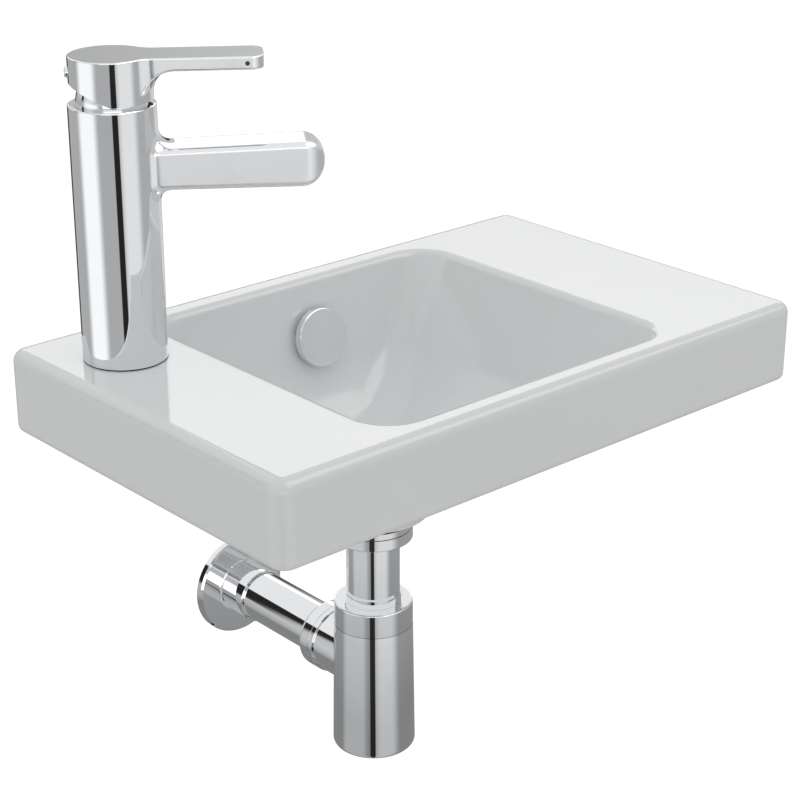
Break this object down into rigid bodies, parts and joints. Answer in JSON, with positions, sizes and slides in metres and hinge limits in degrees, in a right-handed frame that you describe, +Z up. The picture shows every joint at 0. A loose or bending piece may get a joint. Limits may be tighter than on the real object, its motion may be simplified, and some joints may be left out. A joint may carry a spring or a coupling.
{
  "type": "wall hung basin",
  "caption": "Wall hung handwash basin with off-centre bowl, side ledge with lever mixer tap, push-open waste, overflow and bottle trap.",
  "frame": {"origin": "midway between the two wall fixing holes, on the face of the wall; the rim is 28 mm above it", "axes": "+X to the right along the wall as the user faces it, +Y into the wall, +Z up"},
  "size_m": [0.4, 0.263, 0.433],
  "materials": {
    "glazed_ceramic": "white glaze, glossy",
    "chrome": "bright chrome plating",
    "brass": "turned, satin",
    "steel": "satin",
    "rubber": "matte",
    "white_plastic": "matte",
    "disc_ceramic": "lapped",
    "dark_plastic": "gloss"
  },
  "bodies": {
    "fixture": {"basin": "glazed_ceramic", "overflow_cap": "chrome", "tap_body": "chrome", "aerator_ring": "chrome", "ball_cover": "chrome", "waste_body": "chrome", "back_nut": "chrome", "union_nut": "chrome", "tailpipe": "chrome", "sliding_collar": "chrome", "trap_cap": "chrome", "trap_bottle": "chrome", "outlet_nut": "chrome", "outlet_pipe": "chrome", "wall_flange": "chrome", "cartridge_nut": "brass", "stud_nut": "brass", "tap_stud": "steel", "clamp_washer": "steel", "tap_base_gasket": "rubber", "clamp_gasket": "rubber", "aerator_seal": "rubber", "cartridge_seals": "rubber", "waste_top_gasket": "rubber", "waste_lower_gasket": "rubber", "union_washer": "rubber", "cap_washer": "rubber", "outlet_washer": "rubber", "flange_ring": "rubber", "wall_bushes": "white_plastic", "overflow_insert": "white_plastic", "aerator_insert": "white_plastic", "cartridge_housing": "white_plastic", "plug_guide": "white_plastic", "fixed_disc": "disc_ceramic"},
    "turning_part": {"turning_carrier": "white_plastic", "pivot_pin": "steel"},
    "lever_part": {"handle": "chrome", "lever_stem": "steel", "grub_screw": "steel", "screw_cover": "chrome", "index_dot": "dark_plastic"},
    "mixing_part": {"disc_slider": "white_plastic", "moving_disc": "disc_ceramic"},
    "plug_part": {"plug_cap": "chrome", "plug_stem": "white_plastic", "plug_seal": "rubber"}
  },
  "joints": [
    {"name": "handle_swing", "type": "hinge", "parent": "fixture", "child": "turning_part", "pos_m": [-0.156, -0.056, 0.175], "axis": [0, 0, 1], "range_deg": [-45, 45]},
    {"name": "handle_tilt", "type": "hinge", "parent": "turning_part", "child": "lever_part", "pos_m": [-0.156, -0.056, 0.175], "axis": [-0.5878, -0.809, 0], "range_deg": [0, 23]},
    {"name": "disc_slide", "type": "slide", "parent": "turning_part", "child": "mixing_part", "axis": [0.809, -0.5878, 0], "range_m": [0, 0.004]},
    {"name": "plug_slide", "type": "slide", "parent": "fixture", "child": "plug_part", "axis": [0, 0, 1], "range_m": [0, 0.008]}
  ],
  "couplings": [
    {"joint": "disc_slide", "follows": "handle_tilt", "m_per_rad": 0.00973}
  ]
}
